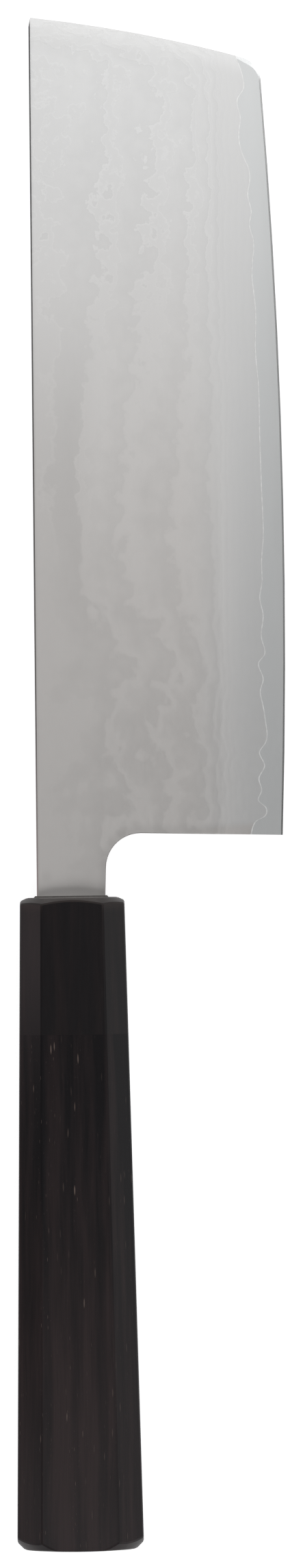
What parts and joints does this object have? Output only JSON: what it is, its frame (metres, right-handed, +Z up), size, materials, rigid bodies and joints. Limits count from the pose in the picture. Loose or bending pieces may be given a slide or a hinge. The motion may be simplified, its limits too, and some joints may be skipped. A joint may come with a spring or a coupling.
{
  "type": "nakiri knife",
  "caption": "Tall straight vegetable knife with a laminated blade, a wavy weld line along the edge, and an octagonal dark wood handle with a horn ferrule.",
  "frame": {"origin": "under the middle of the knife's outline, at the height of the surface that the handle lies on when the knife lies on its side", "axes": "+Y from the butt to the tip, +X from the spine to the cutting edge, +Z up, out of the right face of the blade"},
  "size_m": [0.0564, 0.3084, 0.0205],
  "materials": {
    "core_steel": "polished to the weld line, with a narrow honed edge",
    "bright_layer": "bright, seen only as the weld line",
    "layered_cladding": "satin, with a low-contrast layered pattern",
    "black_horn": "polished",
    "ebony": "oiled, with fine pale pores",
    "dowel_wood": "bare",
    "bedding_resin": "cast",
    "seal_resin": "cast"
  },
  "bodies": {
    "root": {"core_steel": "core_steel", "right_bright_layer": "bright_layer", "left_bright_layer": "bright_layer", "right_cladding": "layered_cladding", "left_cladding": "layered_cladding", "ferrule": "black_horn", "handle_body": "ebony", "handle_dowel": "dowel_wood", "tang_bedding": "bedding_resin", "mouth_seal": "seal_resin"}
  },
  "joints": []
}
